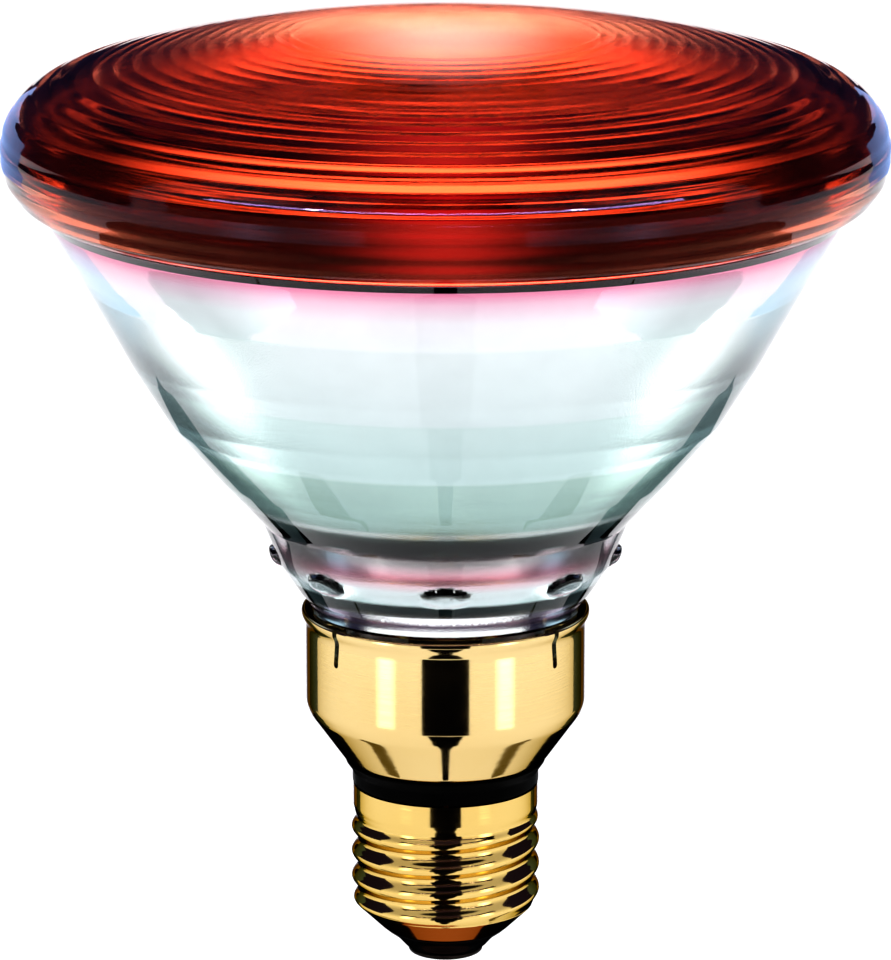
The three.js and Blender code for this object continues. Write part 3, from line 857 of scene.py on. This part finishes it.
def slit_cutter(azimuth, lean):
    """A leaning blade with a round end, centred on the skirt's wall and open at the rim."""
    width, depth, above = 0.9 * MM, 5.6 * MM, 2 * MM
    half = width / 2
    section = [(-half, above), (-half, -depth + half)]
    steps = 10
    for i in range(1, steps):
        angle = math.pi + math.pi * i / steps
        section.append((half * math.cos(angle), -depth + half + half * math.sin(angle)))
    section += [(half, -depth + half), (half, above)]
    vertices = []
    for reach in (17.5 * MM, 21.5 * MM):
        for across, up in section:
            aside = across * math.cos(lean) - up * math.sin(lean)
            rise = across * math.sin(lean) + up * math.cos(lean)
            x = reach * math.cos(azimuth) - aside * math.sin(azimuth)
            y = reach * math.sin(azimuth) + aside * math.cos(azimuth)
            vertices.append((x, y, rise + SKIRT_TOP))
    count = len(section)
    faces = [tuple(reversed(range(count))), tuple(range(count, 2 * count))]
    for i in range(count):
        k = (i + 1) % count
        faces.append((i, k, k + count, i + count))
    return add_mesh("slit_cutter", vertices, faces)


def carve(piece, cutter):
    """Cuts one solid out of a piece and throws the cutter away."""
    cut = piece.modifiers.new("cut", "BOOLEAN")
    cut.operation = "DIFFERENCE"
    cut.solver = "EXACT"
    cut.object = cutter
    graph = bpy.context.evaluated_depsgraph_get()
    result = bpy.data.meshes.new_from_object(piece.evaluated_get(graph))
    piece.modifiers.clear()
    piece.data = result
    bpy.data.objects.remove(cutter)


def make_ring():
    outside = line((11.8, 25.9), (13.0, 25.9), (13.0, 27.7), (14.0, 29.1), (13.8, 29.25), (11.8, 29.25))
    ring = spun("ring_black", refined(rounded(outside, 0.25 * MM), 0.4 * MM), 192)
    finish_piece(ring, black_insulation(), "black_insulation", "insulating_ring")


def make_insulator():
    outside = line(
        (2.4, 1.7),
        (5.6, 1.7),
        (7.0, 3.3),
        (8.8, 4.6),
        (8.3, 4.8),
        (8.3, 5.9),
        (11.2, 9.3),
        (11.2, 10.3),
        (2.4, 10.3),
    )
    insulator = spun("insulator_glass", refined(rounded(outside, 0.5 * MM), 0.5 * MM), 128)
    finish_piece(insulator, black_glass(), "black_glass", "glass_insulator")


def make_contact():
    outside = line((1.6, 0.6), (4.5, 0.6), (5.2, 0.9), (5.2, 1.4), (2.1, 1.4), (2.1, 11.0), (1.6, 11.0))
    contact = spun("contact_eyelet", refined(rounded(outside, 0.25 * MM), 0.5 * MM), 128)
    finish_piece(contact, shade_darkened_metal("contact_metal"), "brass", "centre_contact")


def make_solder():
    outside = line((0, 0), (1.7, 0)) + curve((1.7, 0), (2.6, 0.0), (2.9, 0.5), 5)
    outside += line((1.5, 0.55), (1.5, 7.0), (0, 7.0))
    solder = spun("contact_solder", outside, 64, closed=False)
    finish_piece(solder, shade_darkened_metal("contact_lead"), "solder", "centre_solder")


# ---------------------------------------------------------------- inner parts

POST_SPACING = 12.8
POST_TIP = 9.3
POST_PLACE = POST_SPACING / 2
FILAMENT_HEIGHT = 68.45
FILAMENT_RADIUS = 1.4
FILAMENT_TURNS = 9
SHELL_WIRE_END = -10.3                    # where the solder bead holds the wire in the shell
FINE_TURNS = 44                           # turns of the fine coil to one turn of the large one
BRIDGE = 60.5


def moved(piece, x, y, z):
    piece.data.transform(Matrix.Translation((x * MM, y * MM, z * MM)))


def make_filament():
    """A coiled coil: a fine helix that runs round the large one."""
    big, small, wire = FILAMENT_RADIUS, 0.22, 0.05
    half = 8.3
    steps = 10
    total = FILAMENT_TURNS * FINE_TURNS * steps
    points = []
    for i in range(total + 1):
        t = i / total
        large = 2 * math.pi * FILAMENT_TURNS * t
        fine = 2 * math.pi * FILAMENT_TURNS * FINE_TURNS * t
        out = big + small * math.cos(fine)
        along = -half + 2 * half * t + small * math.sin(fine)
        points.append((along, out * math.cos(large), FILAMENT_HEIGHT + out * math.sin(large)))
    filament = tube("filament_coil", line(*points), wire * MM, 5)
    metal = plain_metal("tungsten", (0.20, 0.19, 0.18), (0.36, 0.34, 0.32), 0.3, 0.5, 900)
    finish_piece(filament, metal, "tungsten", "filament")


def make_lead_posts(metal):
    for side, word in SIDES:
        x = side * POST_PLACE
        path = line((x, 0, 50.9), (x, 0, 62.5), (side * 8.7, 0, 66.4), (side * POST_TIP, 0, 69.65))
        post = tube("post_" + word, refined(rounded(path, 1.5 * MM, 6), 0.5 * MM), 0.6 * MM, 24)
        finish_piece(post, metal, "lead_metal", "lead_post_" + word)


def make_support(metal):
    """A stem that rises from the bridge and ends in a hook round the filament."""
    loop = [(0, 0, 62.3), (0, -1.2, 64.0), (0, -2.1, 66.2)]
    radius, steps = 2.3, 28
    for i in range(steps + 1):
        angle = math.radians(205 - 240 * i / steps)
        loop.append((0, radius * math.cos(angle), FILAMENT_HEIGHT + radius * math.sin(angle)))
    support = tube("support_wire", refined(line(*loop), 0.3 * MM), 0.22 * MM, 16)
    finish_piece(support, metal, "lead_metal", "filament_support")


def make_bridge():
    """An insulating rod with a hole for each lead post."""
    half, radius, bevel = 8.9, 1.5, 0.3
    profile = [(0, -half), (radius - bevel, -half), (radius, -half + bevel)]
    profile += [(radius, half - bevel), (radius - bevel, half), (0, half)]
    rod = spun("bridge_ceramic", refined(line(*profile), 0.4 * MM), 48, closed=False)
    rod.data.transform(Matrix.Rotation(math.radians(90), 4, "Y"))
    for side in (-1, 1):
        drill = spun("drill", line((0, -2.5), (0.85, -2.5), (0.85, 2.5), (0, 2.5)), 32, closed=False)
        moved(drill, side * POST_PLACE, 0, 0)
        carve(rod, drill)
    rod.data.set_sharp_from_angle(angle=math.radians(SHARP_EDGE))
    moved(rod, 0, 0, BRIDGE)
    finish_piece(rod, white_ceramic(), "white_ceramic", "bridge_rod")


def make_ferrules():
    metal = plain_metal("ferrule_metal", (0.46, 0.44, 0.40), (0.62, 0.60, 0.56), 0.25, 0.45, 300)
    cup = line((0, 50.0), (2.4, 50.0), (2.4, 43.1), (3.0, 43.1), (3.0, 50.6), (0, 50.6))
    outline = refined(rounded(cup, 0.25 * MM), 0.5 * MM)
    for side, word in SIDES:
        ferrule = spun("cup_" + word, outline, 64, closed=False)
        moved(ferrule, side * POST_PLACE, 0, 0)
        finish_piece(ferrule, metal, "ferrule_metal", "ferrule_" + word)


def make_supply_wires():
    copper = plain_metal("copper_wire", (0.70, 0.36, 0.22), (0.85, 0.48, 0.30), 0.2, 0.4, 400)
    x, end = POST_PLACE, SHELL_WIRE_END
    centre = line((x, 0, 49.7), (x, 0, 42), (5.6, 0, 38), (2.9, 0, 34.5), (0.3, 0, 31.5), (0, 0, 28))
    centre += line((0, 0, 18), (0, 0, 7.3))
    shell = line((-x, 0, 49.7), (-x, 0, 42), (-7.4, 0, 36), (-9.6, 0, 30), (end, 0, 27), (end, 0, 24.9))
    for word, path in (("centre", centre), ("shell", shell)):
        wire = tube("wire_" + word, refined(rounded(path, 2 * MM, 6), 0.6 * MM), 0.33 * MM, 16)
        finish_piece(wire, copper, "copper_wire", "supply_wire_" + word)


def make_fuse_sleeve(glass):
    outline = line((0.85, 14.1), (1.95, 14.1), (1.95, 26.9), (0.85, 26.9))
    path = rounded(outline + [outline[0]], 0.3 * MM)
    sleeve = spun("sleeve_glass", refined(path, 0.6 * MM)[:-1], 64)
    finish_piece(sleeve, glass, "clear_glass", "fuse_sleeve")


def make_shell_solder():
    """A slightly uneven bead."""
    metal = plain_metal("solder", (0.50, 0.49, 0.46), (0.68, 0.67, 0.63), 0.25, 0.45)
    steps = 24
    blob = []
    for i in range(steps + 1):
        angle = -math.pi / 2 + math.pi * i / steps
        blob.append((abs(math.cos(angle)), math.sin(angle)))
    blob[0], blob[-1] = (0, -1), (0, 1)
    solder = spun("shell_solder_bead", line(*blob), 48, closed=False)
    solder.data.transform(Matrix.Diagonal((0.9, 1.3, 1.0, 1)))
    for vertex in solder.data.vertices:
        bulge = 1 - 0.10 * math.sin(3 * vertex.co.x / MM + 2 * vertex.co.y / MM) ** 2
        vertex.co *= bulge
    moved(solder, SHELL_WIRE_END, 0, 23.6)
    finish_piece(solder, metal, "solder", "shell_solder")


def make_exhaust_tip(glass):
    """The sealed end of the pumping tube: a tapered glass tip with a closed bore."""
    top = 44.8
    outline = line((0, top - 8)) + curve((0, top - 8), (1.5, top - 8), (1.7, top - 6), 8)
    outline += curve((1.7, top - 6), (1.9, top - 4), (2.15, top - 2.5), 6)
    outline += line((2.15, top), (1.4, top), (1.4, top - 2.5))
    outline += curve((1.4, top - 2.5), (1.2, top - 4.6), (0, top - 5), 8)
    tip = spun("pumping_tip", refined(outline, 0.4 * MM), 64, closed=False)
    finish_piece(tip, glass, "clear_glass", "exhaust_tip")


# ---------------------------------------------------------------- run

make_camera()
make_floor()
make_world()
make_lights()
make_cards()
make_lens()
make_bowl()
make_mirror()
make_shell()
make_skirt()
make_ring()
make_insulator()
make_contact()
make_solder()
make_filament()
wire_metal = plain_metal("lead_metal", (0.40, 0.40, 0.38), (0.60, 0.59, 0.56), 0.2, 0.4, 300)
make_lead_posts(wire_metal)
make_support(wire_metal)
make_bridge()
make_ferrules()
make_supply_wires()
make_fuse_sleeve(bpy.data.materials["clear_glass_look"])
make_shell_solder()
make_exhaust_tip(bpy.data.materials["clear_glass_look"])
